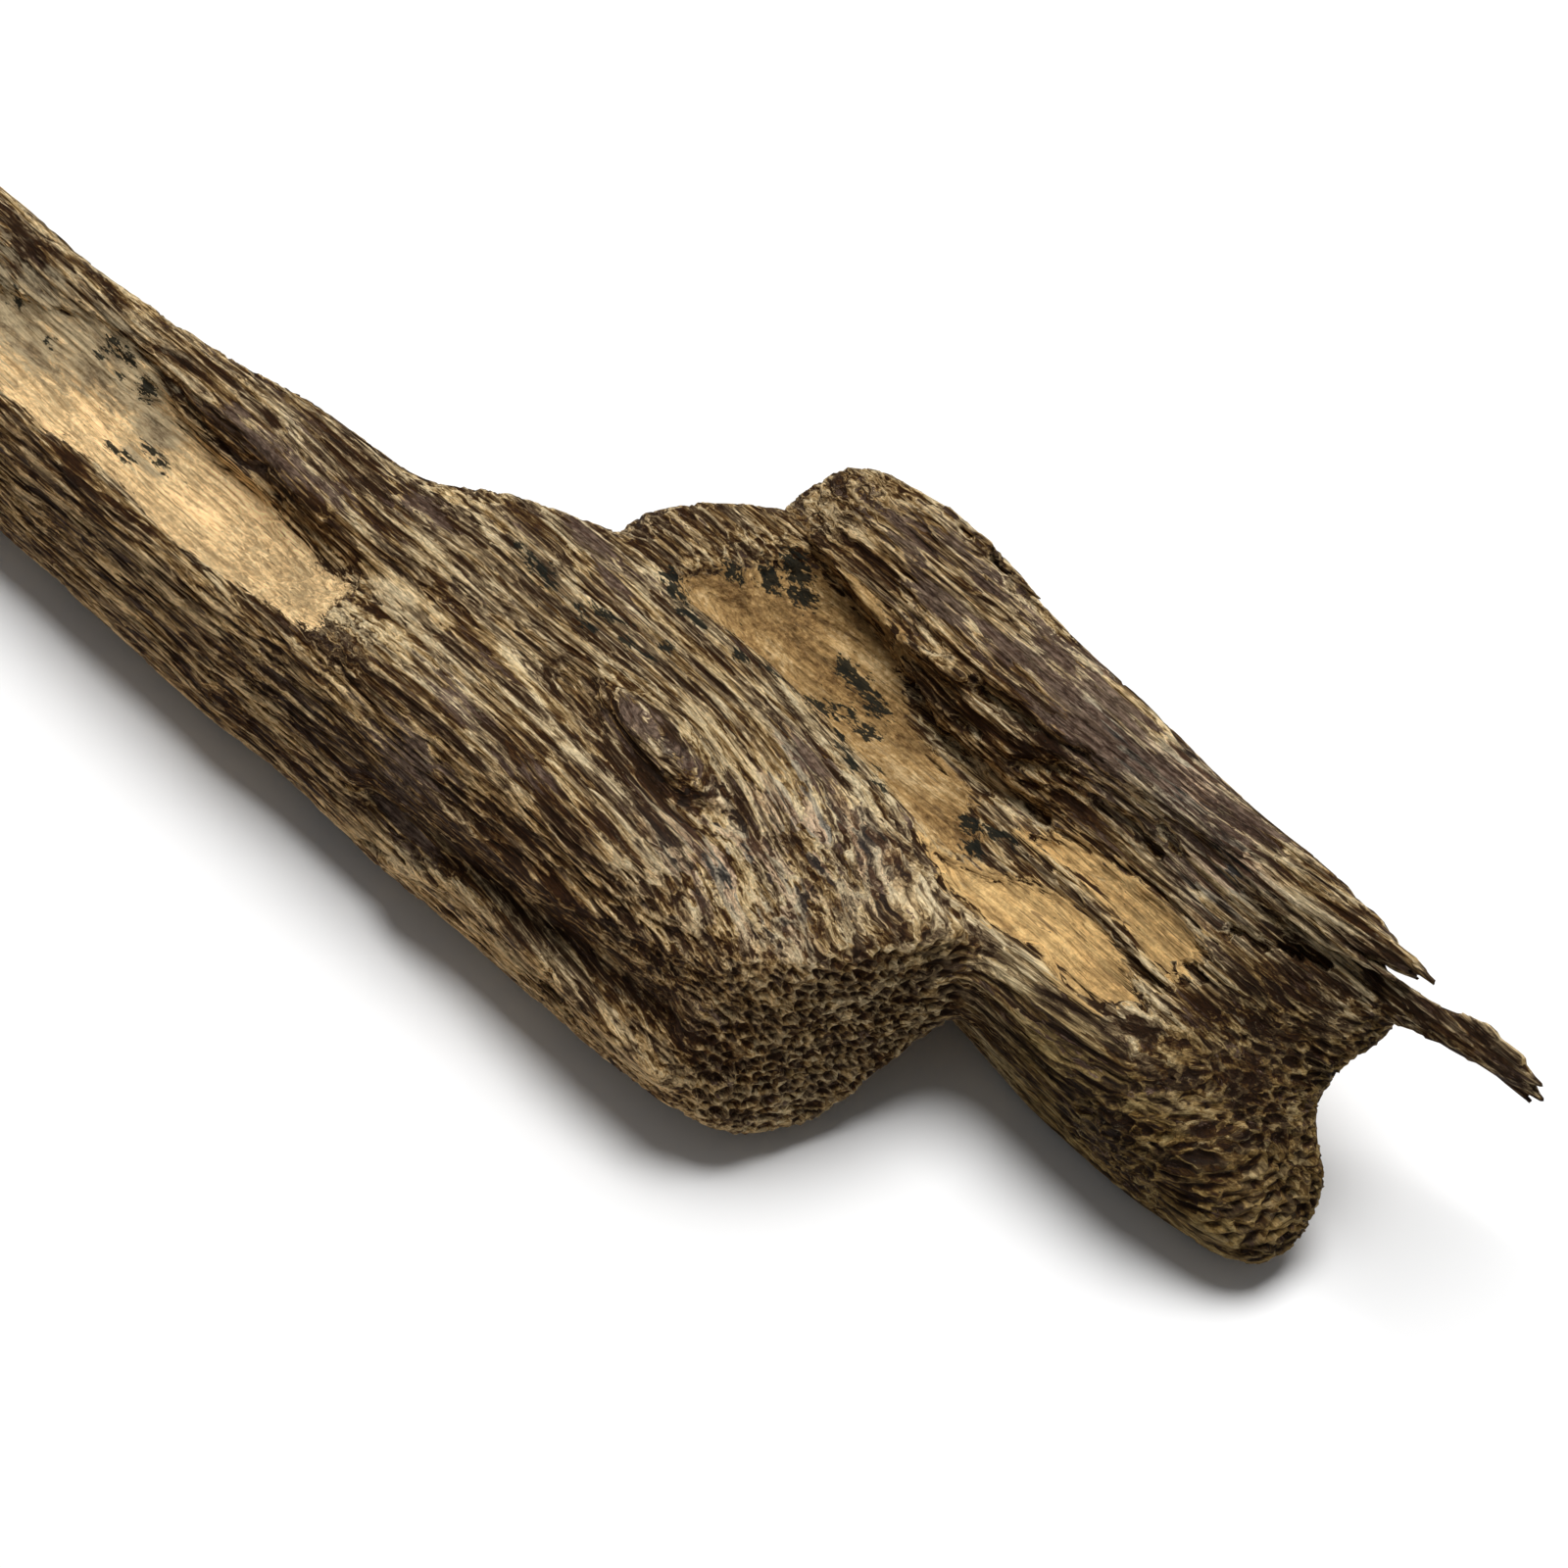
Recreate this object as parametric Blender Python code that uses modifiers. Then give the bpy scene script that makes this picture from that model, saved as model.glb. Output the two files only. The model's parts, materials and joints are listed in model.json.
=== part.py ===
"""A weathered piece of agarwood, split out of a log along the grain. It is one solid.

Metres, +Z up. +X runs along the grain, from the worn tip of the stem to the broken end, where the wood
parts into a near lobe, a foot, a ridge drawn out to a spike, and a long splinter. +Y is the ridge's side.
The origin is on the resting surface, below the middle of the piece.
"""

import math

import bmesh
import bpy
import numpy as np
from mathutils import Matrix, Vector

MM = 0.001

# The stem and the near lobe that it runs out into, as stations along the grain, in millimetres.
STEM_COLUMNS = ("x", "near", "rim", "rim_z", "floor_z", "step", "step_z", "top_z", "far", "low")
STEM = [
    (-105, -18.5, -17.6, 9.5, 9.8, -12.6, 10.0, 9.8, -11.0, 5.0),
    (-102, -20.4, -19.2, 12.0, 12.4, -12.0, 12.8, 13.2, -8.6, 3.0),
    (-95, -22.0, -20.0, 13.6, 13.8, -11.8, 14.8, 15.4, -6.8, 2.0),
    (-83, -22.4, -20.0, 14.2, 14.2, -11.4, 15.4, 16.3, -5.6, 1.4),
    (-70, -22.4, -19.8, 14.6, 14.0, -11.0, 15.8, 16.2, -5.5, 0.8),
    (-56, -21.9, -19.4, 14.8, 13.6, -10.2, 16.2, 16.9, -4.5, 0.6),
    (-44, -21.5, -19.0, 15.0, 13.2, -10.2, 16.8, 17.3, -2.6, 0.5),
    (-35, -21.3, -18.8, 15.0, 14.0, -11.0, 16.8, 17.0, -1.6, 0.5),
    (-27, -20.4, -18.2, 14.8, 16.0, -10.0, 17.2, 17.4, 3.0, 0.4),
    (-18, -20.2, -17.6, 14.6, 16.4, -7.0, 17.2, 16.8, 6.0, 0.4),
    (-6, -19.8, -16.2, 14.6, 16.2, -5.0, 16.8, 16.2, 5.6, 0.6),
    (5, -19.4, -15.4, 14.8, 16.2, -5.0, 16.4, 15.8, 5.0, 1.0),
    (12, -18.6, -14.6, 14.4, 15.8, -5.0, 15.8, 15.0, 3.4, 1.6),
    (20, -16.6, -13.0, 13.4, 14.6, -4.0, 14.6, 14.2, 1.6, 2.4),
]
# The foot, whose top is the floor of the hollow and the wood below the ridge. Its end thins to a toe.
FOOT_COLUMNS = ("x", "near", "edge_z", "floor_z", "back_z", "far", "under", "under_z", "keel", "low")
FOOT = [
    (-23, -2.0, 13.0, 14.6, 14.8, 8.6, 8.0, 8.0, 4.0, 4.0),
    (-18, 0.0, 14.0, 16.2, 16.9, 13.2, 12.6, 8.0, 6.0, 3.0),
    (-14, 1.0, 14.0, 15.4, 16.8, 15.8, 15.0, 8.0, 8.0, 2.6),
    (-10, 1.0, 13.6, 13.6, 15.4, 18.0, 16.6, 8.0, 8.0, 2.2),
    (-2, 1.0, 13.4, 13.0, 15.0, 18.8, 17.4, 8.4, 8.6, 2.0),
    (8, 0.4, 13.2, 13.0, 15.0, 17.6, 16.6, 8.8, 8.4, 1.4),
    (18, -0.8, 13.0, 13.0, 15.0, 17.0, 15.8, 9.4, 7.4, 0.8),
    (26, -1.4, 12.6, 13.2, 15.6, 16.6, 15.0, 10.2, 6.6, 0.5),
    (32, -1.4, 11.8, 12.8, 16.4, 16.4, 14.2, 11.0, 6.0, 0.5),
    (36, -0.9, 10.0, 11.0, 16.2, 16.0, 13.4, 11.6, 5.6, 0.5),
    (39.5, -0.3, 7.6, 8.4, 14.6, 15.4, 12.6, 11.4, 5.0, 0.8),
    (41.4, 0.4, 5.4, 6.0, 10.0, 11.0, 9.0, 7.0, 4.6, 1.6),
    (42.6, 1.3, 4.2, 4.4, 4.6, 6.6, 6.0, 3.4, 4.2, 2.4),
]
# The ridge that stands along the far side and is drawn out to a spike.
RIDGE_COLUMNS = ("x", "foot", "wall", "wall_z", "crest_z", "far", "low")
RIDGE = [
    (-16.9, 13.4, 13.8, 15.2, 16.5, 16.9, 11.5),
    (-14.7, 13.1, 13.4, 16.0, 18.6, 18.3, 11.0),
    (-12.3, 12.8, 12.8, 16.6, 20.1, 19.1, 10.5),
    (-8.3, 12.4, 12.5, 16.6, 20.8, 19.4, 10.0),
    (-3.8, 12.0, 12.3, 16.6, 21.3, 19.4, 9.0),
    (0.3, 10.6, 11.2, 16.7, 20.7, 19.3, 9.0),
    (4.7, 9.4, 11.5, 17.6, 19.6, 18.9, 9.0),
    (9.5, 9.2, 11.7, 18.2, 19.2, 18.6, 9.0),
    (15.1, 10.6, 12.7, 17.7, 19.1, 18.3, 9.0),
    (20.2, 11.2, 13.0, 17.2, 18.7, 17.8, 9.5),
    (26.0, 11.6, 13.2, 17.0, 19.0, 17.4, 10.0),
    (31.6, 12.0, 13.1, 17.2, 19.6, 17.1, 12.5),
    (36.4, 12.8, 13.2, 17.5, 19.7, 16.4, 15.6),
    (39.7, 13.3, 13.5, 18.2, 19.4, 15.7, 17.4),
    (42.4, 14.1, 14.2, 18.8, 19.1, 15.1, 18.5),
]
# The long splinter, a leaning flat strip: x, the middle's y and z, half of its width and half of its thickness.
SPLINTER = [
    (35.0, 13.6, 14.6, 1.5, 1.3),
    (39.0, 14.4, 15.6, 1.9, 1.1),
    (42.0, 15.0, 16.0, 1.8, 0.9),
    (45.0, 15.5, 16.1, 1.6, 0.8),
    (48.0, 15.8, 16.0, 1.3, 0.7),
    (50.6, 15.9, 15.8, 0.7, 0.5),
]
SPLINTER_LEAN = math.radians(48)
# The crack that parts the spike from the wood below it: x, y, z of its floor and half of its opening.
CRACK = [
    (28.0, 10.0, 16.4, 0.1),
    (33.0, 10.6, 16.5, 0.25),
    (37.0, 11.0, 16.9, 0.5),
    (44.0, 11.6, 17.5, 0.8),
]
CRACK_DEPTH = 4.5
# The knot on the near lobe: a long low swelling.
KNOT_AT = (-5.0, -6.2, 15.6)
KNOT_RADII = (7.4, 3.0, 2.4)
LOFT_RINGS = 96
LOFT_SIDES = 64

# The near lobe is broken off across the grain by a leaning face, and its near corner is broken off too.
LOBE_END = ((17.4, -6.0, 9.0), (1.0, -0.32, 0.12))
LOBE_CORNER = ((13.6, -15.6, 9.0), (0.72, -0.66, 0.36))
LOBE_UNDER = ((16.0, -1.0, 6.8), (0.27, 0.42, -0.87))
# The end of the foot is hollowed below the ridge.
BITE_LOW = (38.1, 19.1, -2.0)
BITE_HIGH = (47.9, 6.1, 18.0)
BITE_RADIUS = 5.1

VOXEL = 0.6 * MM
TRIANGLES = 9400
# The underside is worn flat where it rests, by this much above its lowest point.
REST_WEAR = 0.5 * MM

COLOUR = (0.105, 0.068, 0.043, 1.0)
ROUGHNESS = 0.62


def clear_scene():
    for obj in list(bpy.data.objects):
        bpy.data.objects.remove(obj, do_unlink=True)


def stem_section(x, near, rim, rim_z, floor_z, step, step_z, top_z, far, low):
    """The stem's outline across the grain: flank, rim, hollow, step and shoulder."""
    return [
        ((near + far) / 2, low),
        (near + 3.0, low + 0.8),
        (near, low + 0.32 * (rim_z - low)),
        (rim, rim_z),
        (rim + 1.6, floor_z),
        (step - 0.8, floor_z),
        (step + 0.6, step_z),
        ((step + far) / 2, top_z),
        (far - 1.9, top_z - 0.9),
        (far - 0.6, top_z - 3.2),
        (far, low + 0.4 * (top_z - low)),
        (far - 3.0, low + 1.2),
    ]


def foot_section(x, near, edge_z, floor_z, back_z, far, under, under_z, keel, low):
    """The foot's outline across the grain: flank, floor, the wood below the ridge, and the sloping underside."""
    return [
        (keel, low),
        (near + 2.0, low + 0.5),
        (near + 0.6, low + 0.35 * (edge_z - low)),
        (near, edge_z - 0.2 * (edge_z - low)),
        (near + 0.16 * (far - near), edge_z),
        (near + 0.32 * (far - near), floor_z),
        (near + 0.56 * (far - near), floor_z + 0.25 * (back_z - floor_z)),
        (far - 0.16 * (far - near), back_z),
        (far, (back_z + under_z) / 2),
        (under, under_z),
    ]


def ridge_section(x, foot, wall, wall_z, crest_z, far, low):
    return [
        (foot, (low + wall_z) / 2),
        (wall, wall_z),
        ((wall + far) / 2, 0.4 * wall_z + 0.6 * crest_z + 0.4),
        (far - 0.9, crest_z),
        (far, (low + crest_z) / 2),
        ((foot + far) / 2, low),
    ]


def splinter_section(x, y, z, wide, thick):
    along = (math.cos(SPLINTER_LEAN), math.sin(SPLINTER_LEAN))
    across = (-along[1], along[0])
    return [
        (y + wide * a * along[0] + thick * b * across[0], z + wide * a * along[1] + thick * b * across[1])
        for a, b in ((1, 0), (0.7, 0.8), (0, 1), (-0.7, 0.8), (-1, 0), (-0.7, -0.8), (0, -1), (0.7, -0.8))
    ]


def crack_section(x, y, z, gap):
    """A wedge that is open towards the near side and closes as it goes in."""
    return [(y - 3, z - 2 * gap), (y - 3, z + 2 * gap), (y + CRACK_DEPTH, z + 0.05), (y + CRACK_DEPTH, z - 0.05)]


def curve_through(knots, values, where):
    """A smooth curve through values at knots, with no overshoot beyond a level stretch."""
    knots, values = np.asarray(knots, float), np.asarray(values, float)
    step = np.diff(knots)
    slope = np.diff(values, axis=0) / step[:, None]
    tangent = np.zeros_like(values)
    tangent[0], tangent[-1] = slope[0], slope[-1]
    before, after = slope[:-1], slope[1:]
    same = before * after > 0
    tangent[1:-1][same] = (2 * before * after)[same] / (before + after)[same]
    i = np.clip(np.searchsorted(knots, where, side="right") - 1, 0, len(step) - 1)
    t = ((where - knots[i]) / step[i])[:, None]
    width = step[i][:, None]
    return (
        values[i] * (1 + 2 * t) * (1 - t) ** 2
        + values[i + 1] * t**2 * (3 - 2 * t)
        + width * tangent[i] * t * (1 - t) ** 2
        - width * tangent[i + 1] * t**2 * (1 - t)
    )


def closed_outline(points, count):
    """A smooth closed outline through points, read at count even steps along it."""
    points = np.asarray(points, float)
    around = np.vstack([points[-2:], points, points[:3]])
    chord = np.linalg.norm(np.diff(around, axis=0), axis=1) ** 0.5
    at = np.concatenate([[0], np.cumsum(chord)])
    dense = []
    for i in range(2, 2 + len(points)):
        p, t = around[i - 1 : i + 3], at[i - 1 : i + 3]
        for s in np.linspace(t[1], t[2], 12, endpoint=False):
            a = [((t[k + 1] - s) * p[k] + (s - t[k]) * p[k + 1]) / (t[k + 1] - t[k]) for k in range(3)]
            b = [((t[k + 2] - s) * a[k] + (s - t[k]) * a[k + 1]) / (t[k + 2] - t[k]) for k in range(2)]
            dense.append(((t[2] - s) * b[0] + (s - t[1]) * b[1]) / (t[2] - t[1]))
    dense = np.array(dense + dense[:1])
    length = np.concatenate([[0], np.cumsum(np.linalg.norm(np.diff(dense, axis=0), axis=1))])
    even = np.linspace(0, length[-1], count, endpoint=False)
    return np.stack([np.interp(even, length, dense[:, k]) for k in range(2)], axis=1)


def loft(name, stations, section):
    """A closed loft along the grain through the sections that the stations give, as an object in metres."""
    stations = np.array(stations, float)
    where = np.linspace(stations[0, 0], stations[-1, 0], LOFT_RINGS)
    shape = bmesh.new()
    rings = []
    for row in curve_through(stations[:, 0], stations, where):
        outline = closed_outline(section(*row), LOFT_SIDES)
        rings.append([shape.verts.new(Vector((row[0], y, z)) * MM) for y, z in outline])
    for ring, following in zip(rings, rings[1:]):
        for side in range(LOFT_SIDES):
            after = (side + 1) % LOFT_SIDES
            shape.faces.new((ring[side], ring[after], following[after], following[side]))
    shape.faces.new(list(reversed(rings[0])))
    shape.faces.new(rings[-1])
    bmesh.ops.recalc_face_normals(shape, faces=shape.faces)
    mesh = bpy.data.meshes.new(name)
    shape.to_mesh(mesh)
    shape.free()
    obj = bpy.data.objects.new(name, mesh)
    bpy.context.scene.collection.objects.link(obj)
    return obj


def gouge(name, low, high, radius):
    """A round cutter from low to high, in millimetres."""
    low, high = Vector(low) * MM, Vector(high) * MM
    bpy.ops.mesh.primitive_cylinder_add(vertices=48, radius=radius * MM, depth=(high - low).length)
    cutter = bpy.context.object
    cutter.name = name
    turn = (high - low).to_track_quat("Z", "Y").to_matrix().to_4x4()
    cutter.data.transform(Matrix.Translation((low + high) / 2) @ turn)
    return cutter


def swelling(name, at, radii, turn=0.0):
    bpy.ops.mesh.primitive_uv_sphere_add(segments=32, ring_count=16, radius=MM)
    bump = bpy.context.object
    bump.name = name
    stretch = Matrix.Diagonal((*radii, 1.0))
    bump.data.transform(Matrix.Translation(Vector(at) * MM) @ Matrix.Rotation(turn, 4, "Z") @ stretch)
    return bump


def break_off(obj, face):
    """Takes off what lies beyond a face given by a point and an outward normal, and closes the end."""
    point, outward = face
    shape = bmesh.new()
    shape.from_mesh(obj.data)
    geometry = shape.verts[:] + shape.edges[:] + shape.faces[:]
    cut = bmesh.ops.bisect_plane(
        shape, geom=geometry, plane_co=Vector(point) * MM, plane_no=Vector(outward).normalized(), clear_outer=True
    )
    edges = [item for item in cut["geom_cut"] if isinstance(item, bmesh.types.BMEdge)]
    bmesh.ops.triangle_fill(shape, edges=edges, use_beauty=True)
    bmesh.ops.recalc_face_normals(shape, faces=shape.faces)
    shape.to_mesh(obj.data)
    shape.free()


def settle(obj):
    """Applies the object's modifiers."""
    bpy.context.view_layer.update()
    graph = bpy.context.evaluated_depsgraph_get()
    mesh = bpy.data.meshes.new_from_object(obj.evaluated_get(graph))
    obj.modifiers.clear()
    obj.data = mesh


def cut(body, cutter):
    boolean = body.modifiers.new(cutter.name, "BOOLEAN")
    boolean.operation = "DIFFERENCE"
    boolean.solver = "EXACT"
    boolean.object = cutter
    settle(body)
    bpy.data.objects.remove(cutter, do_unlink=True)


def grow_together(name, parts):
    """Makes one skin round lofts that overlap."""
    shape = bmesh.new()
    for part in parts:
        shape.from_mesh(part.data)
        bpy.data.objects.remove(part, do_unlink=True)
    mesh = bpy.data.meshes.new(name)
    shape.to_mesh(mesh)
    shape.free()
    obj = bpy.data.objects.new(name, mesh)
    bpy.context.scene.collection.objects.link(obj)
    remesh = obj.modifiers.new("skin", "REMESH")
    remesh.mode = "VOXEL"
    remesh.voxel_size = VOXEL
    settle(obj)
    return obj


def weather(obj):
    """Rounds the joins, as weather does."""
    remesh = obj.modifiers.new("remesh", "REMESH")
    remesh.mode = "VOXEL"
    remesh.voxel_size = VOXEL
    smooth = obj.modifiers.new("smooth", "SMOOTH")
    smooth.factor = 0.5
    smooth.iterations = 3
    settle(obj)


def thin_out(obj, triangles):
    decimate = obj.modifiers.new("thin out", "DECIMATE")
    decimate.ratio = triangles / (2.0 * len(obj.data.polygons))
    decimate.use_collapse_triangulate = True
    settle(obj)


def wear_flat(obj, depth):
    """Cuts the underside level, and sets the piece down on it."""
    level = min(vertex.co.z for vertex in obj.data.vertices) + depth
    break_off(obj, ((0.0, 0.0, level / MM), (0.0, 0.0, -1.0)))
    corners = np.array([vertex.co for vertex in obj.data.vertices])
    middle = (corners.min(axis=0) + corners.max(axis=0)) / 2
    obj.data.transform(Matrix.Translation((-middle[0], -middle[1], -level)))


def resinous_wood():
    material = bpy.data.materials.new("agarwood")
    material.use_nodes = True
    surface = material.node_tree.nodes["Principled BSDF"]
    surface.inputs["Base Color"].default_value = COLOUR
    surface.inputs["Roughness"].default_value = ROUGHNESS
    material.diffuse_color = COLOUR
    return material


clear_scene()
stem = loft("stem", STEM, stem_section)
break_off(stem, LOBE_END)
break_off(stem, LOBE_CORNER)
break_off(stem, LOBE_UNDER)
body = grow_together("agarwood", [
    stem,
    loft("floor", FOOT, foot_section),
    loft("ridge", RIDGE, ridge_section),
    loft("splinter", SPLINTER, splinter_section),
    swelling("knot", KNOT_AT, KNOT_RADII, math.radians(-8)),
])
cut(body, gouge("bite", BITE_LOW, BITE_HIGH, BITE_RADIUS))
weather(body)
cut(body, loft("crack", CRACK, crack_section))
thin_out(body, TRIANGLES)
wear_flat(body, REST_WEAR)
body.data.materials.clear()
body.data.materials.append(resinous_wood())
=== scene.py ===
"""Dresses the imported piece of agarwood: weathered shape, resin-veined wood, floor, light and camera."""

import json
import math

import bpy
import numpy as np
from mathutils import Matrix, Vector

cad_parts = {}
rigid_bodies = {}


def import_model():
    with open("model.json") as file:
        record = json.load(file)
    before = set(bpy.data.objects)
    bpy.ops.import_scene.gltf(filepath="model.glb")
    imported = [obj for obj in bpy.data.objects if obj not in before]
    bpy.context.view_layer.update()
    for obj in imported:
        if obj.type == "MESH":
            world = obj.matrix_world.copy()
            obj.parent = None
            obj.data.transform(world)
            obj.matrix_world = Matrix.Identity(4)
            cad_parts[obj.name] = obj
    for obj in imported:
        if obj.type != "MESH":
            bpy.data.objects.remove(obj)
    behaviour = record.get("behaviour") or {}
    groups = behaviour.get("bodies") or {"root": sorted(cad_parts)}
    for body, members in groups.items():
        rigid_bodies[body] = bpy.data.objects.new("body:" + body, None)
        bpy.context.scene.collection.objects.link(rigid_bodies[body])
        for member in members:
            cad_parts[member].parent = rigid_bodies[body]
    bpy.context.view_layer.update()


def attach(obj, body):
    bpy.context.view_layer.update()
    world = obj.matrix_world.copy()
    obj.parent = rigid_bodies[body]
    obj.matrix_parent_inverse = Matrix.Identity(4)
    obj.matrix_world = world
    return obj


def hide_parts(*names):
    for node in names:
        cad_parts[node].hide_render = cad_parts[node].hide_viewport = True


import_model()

# The wood. One weathered chunk of agarwood, split from a log along the grain, which runs along X.
# Dark resin fills long thin strands in the pale wood. The strands have worn back further than the
# wood between them, so they are grooves on the flanks and pits on the broken ends.
MM = 0.001
# The piece is remeshed and thinned out while it is squashed along the grain, so its facets lie long along it.
GRAIN_SQUASH = 0.25
SOLID_MERGE = 0.002 * MM
BODY_VOXEL = 0.3 * MM
SKIN_VOXEL = 0.14 * MM
TRIANGLES = 190000
SLIVER_SIDES = 7
# A sliver's fine end is this share of its broad end, and its flat side faces the photograph's line of sight.
SLIVER_TIP = 0.3
SLIVER_FACE = Vector((0.522, -0.438, 0.731))


def select_only(*pieces):
    """Selects these pieces alone and makes the first one active."""
    bpy.ops.object.select_all(action="DESELECT")
    for piece in pieces:
        piece.select_set(True)
    bpy.context.view_layer.objects.active = pieces[0]


def copy_of_node(name):
    """A merged copy of a frame node, the only object selected."""
    piece = bpy.data.objects.new(name + "_wood", bpy.data.objects[name].data.copy())
    bpy.context.scene.collection.objects.link(piece)
    select_only(piece)
    bpy.ops.object.mode_set(mode="EDIT")
    bpy.ops.mesh.select_all(action="SELECT")
    bpy.ops.mesh.remove_doubles(threshold=SOLID_MERGE)
    bpy.ops.object.mode_set(mode="OBJECT")
    return piece


def read_points(piece, what="co"):
    """The mesh's points, or their facings when what is normal, one row each."""
    values = np.empty(len(piece.data.vertices) * 3, np.float32)
    piece.data.vertices.foreach_get(what, values)
    return values.reshape(-1, 3).astype(float)


def write_points(piece, points):
    piece.data.vertices.foreach_set("co", points.astype(np.float32).ravel())
    piece.data.update()


def stretch_grain(piece, factor):
    write_points(piece, read_points(piece) * (factor, 1, 1))


def finish_modifier(piece, kind, **settings):
    """Adds a modifier to the piece and applies it."""
    modifier = piece.modifiers.new(kind.lower(), kind)
    for name, value in settings.items():
        setattr(modifier, name, value)
    bpy.ops.object.modifier_apply(modifier=modifier.name)


def new_skin(piece, voxel, smoothings):
    """Remeshes the piece in even facets that are long along the grain, and smooths the steps off them."""
    stretch_grain(piece, GRAIN_SQUASH)
    finish_modifier(piece, "REMESH", mode="VOXEL", voxel_size=voxel)
    finish_modifier(piece, "SMOOTH", factor=0.5, iterations=smoothings)
    stretch_grain(piece, 1 / GRAIN_SQUASH)


def sliver(start, end, broad, thin):
    """A flat cone of wood from its broad end to its fine end. Taken away, it leaves a split."""
    start, end = Vector(start) * MM, Vector(end) * MM
    along = (end - start).normalized()
    across = along.cross(SLIVER_FACE).normalized()
    turn = Matrix((across, along.cross(across), along)).transposed().to_euler()
    bpy.ops.mesh.primitive_cone_add(
        vertices=SLIVER_SIDES, radius1=MM, radius2=SLIVER_TIP * MM, depth=(end - start).length,
        location=(start + end) / 2, rotation=turn, scale=(broad, thin, 1),
    )
    return bpy.context.object


def join_all(pieces):
    select_only(*pieces)
    bpy.ops.object.join()
    return pieces[0]


def keep_main_part(piece):
    """Deletes any crumb that the remesh has cut loose; the part that reaches the floor stays."""
    for vertex in piece.data.vertices:
        vertex.select = False
    piece.data.vertices[int(np.argmin(read_points(piece)[:, 2]))].select = True
    bpy.ops.object.mode_set(mode="EDIT")
    bpy.ops.mesh.select_mode(type="VERT")
    bpy.ops.mesh.select_linked()
    bpy.ops.mesh.select_all(action="INVERT")
    bpy.ops.mesh.delete(type="VERT")
    bpy.ops.object.mode_set(mode="OBJECT")


# The points in these lists are in millimetres, and x runs along the grain to the splintered end.
# Splinters on the broken ends: broad end, fine end, half breadth and half thickness at the broad end.
SPLINTERS = [
    ((61.5, 17.0, 17.9), (69.8, 16.1, 18.8), 0.85, 0.6),
    ((73.4, 17.3, 16.6), (69.3, 17.2, 15.8), 0.5, 0.45),
    ((76.0, 17.4, 16.3), (71.0, 17.3, 16.5), 0.45, 0.4),
    ((72.5, 17.2, 15.8), (77.8, 17.3, 15.9), 0.6, 0.5),
    ((72.0, 17.1, 15.4), (78.2, 17.1, 15.0), 0.7, 0.55),
    ((72.0, 16.9, 15.0), (77.6, 16.9, 14.4), 0.6, 0.5),
    ((21.5, 19.6, 20.2), (27.3, 19.9, 20.2), 0.6, 0.5),
    ((26.5, 19.7, 19.6), (31.8, 19.4, 19.6), 0.55, 0.4),
    ((56.5, 17.6, 18.2), (63.6, 17.3, 18.3), 0.5, 0.4),
]
# Splits and notches, each as the sliver that is missing there, with its broad end at the mouth.
SPLITS = [
    ((71.0, 16.4, 17.9), (63.6, 15.7, 16.8), 0.55, 7.0),
    ((57.4, 9.4, 13.4), (55.3, 9.6, 12.9), 0.8, 0.9),
]

wood = copy_of_node("agarwood")
new_skin(wood, BODY_VOXEL, smoothings=8)
splits = join_all([sliver(*split) for split in SPLITS])
bpy.ops.object.transform_apply(location=True, rotation=True, scale=True)
select_only(wood)
finish_modifier(wood, "BOOLEAN", operation="DIFFERENCE", solver="EXACT", object=splits)
bpy.data.objects.remove(splits)
join_all([wood] + [sliver(*splinter) for splinter in SPLINTERS])
new_skin(wood, SKIN_VOXEL, smoothings=2)
keep_main_part(wood)

# Hollows where the dark wood is gone down to smooth pale sapwood: how brown it is, how deep, and its outline
# from above.
HOLLOWS = [
    # along the stem
    (0.0, 0.35, [(-59, -17.2), (-47, -17.5), (-34, -17.3), (-31.2, -16.9), (-26.6, -16.8), (-24.1, -16.1),
                 (-20.4, -16.2), (-16.2, -16.6), (-13.1, -16.5), (-10.5, -16.1), (-7.7, -16), (-5, -15.7),
                 (-2.1, -15.4), (0.1, -15), (-0.7, -13.6), (-2, -11.2), (-3.9, -10.3), (-8.9, -9.8),
                 (-13.2, -9.4), (-16.8, -9.3), (-20.7, -9.3), (-24.6, -9), (-28.4, -8.1), (-32.6, -8.4),
                 (-36.5, -8.8), (-39.1, -9.9), (-43.5, -11.2), (-55, -12.2), (-62, -13), (-67, -13.9),
                 (-69, -14.6), (-65, -15.4), (-63, -16.6)]),
    # below the ridge
    (1.0, 0.25, [(11.4, 5.6), (11.7, 7.9), (13.4, 9.8), (15.2, 13.2), (18.5, 14), (22.2, 13.7),
                 (25.6, 12.8), (27.2, 11.6), (29, 10.6), (31.8, 10), (35.7, 9.4), (39.2, 7.8), (40.5, 5.6),
                 (39, 4.7), (35.5, 5), (31.8, 5.8), (27.6, 6.1), (23.4, 6.4), (19.1, 6.4), (16.5, 5.5),
                 (13.7, 4.6)]),
    # two strips on the foot, with a thin dark rib between them
    (0.5, 0.4, [(40.7, 9.2), (42.8, 10.6), (44.7, 11.3), (47.9, 11.6), (51.7, 11.7), (54.6, 11.3),
                (55.9, 10.9), (55.6, 9.9), (56.1, 9.2), (55.6, 8.5), (53.6, 8.5), (51.6, 8.8), (48.8, 9.3),
                (46.3, 9.5), (43.8, 9.5)]),
    (0.5, 0.35, [(37.6, 3.8), (41.7, 5.3), (43.9, 7.2), (47, 7.9), (49.5, 7.9), (52.5, 7.3), (54.5, 6.7),
                 (55.6, 6), (55.3, 5.2), (54.4, 3.8), (52.1, 3.3), (50.4, 3.6), (48.5, 4.1), (47.3, 3.5),
                 (45.3, 3), (43, 3), (41.3, 2.7)]),
]
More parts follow.
